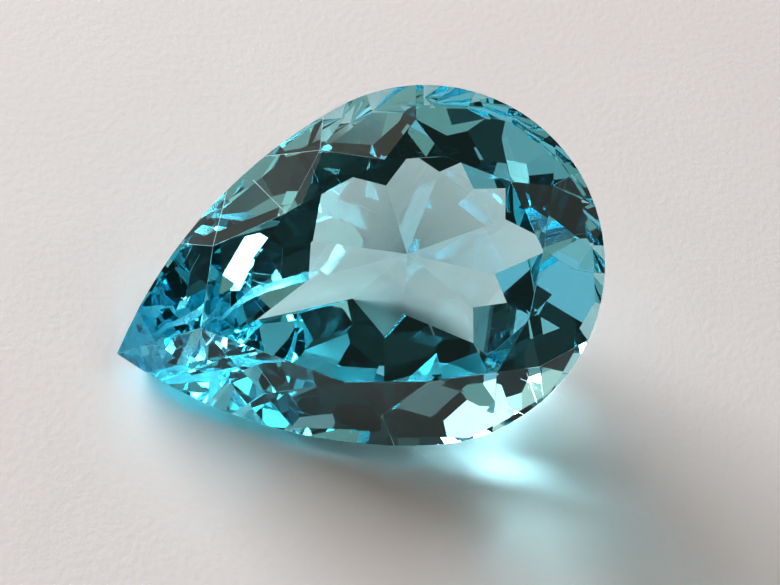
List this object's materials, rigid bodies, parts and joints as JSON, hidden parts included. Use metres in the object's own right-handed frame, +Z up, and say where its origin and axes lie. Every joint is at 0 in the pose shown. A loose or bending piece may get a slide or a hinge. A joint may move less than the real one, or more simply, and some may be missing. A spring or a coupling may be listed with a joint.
{
  "type": "pear-cut topaz gemstone",
  "caption": "Loose faceted blue gemstone with a rounded head and a pointed tip, lying on one pavilion facet.",
  "frame": {"origin": "centre of the stone's bounding box, at the level of the facet that it lies on", "axes": "+X from the pointed tip towards the round head, level; +Z up, away from the surface that the stone lies on; the table facet looks up and towards -Y"},
  "size_m": [0.017, 0.0108, 0.01],
  "materials": {
    "topaz": "polished facets, clear sky blue"
  },
  "bodies": {
    "root": {"stone": "topaz"}
  },
  "joints": []
}
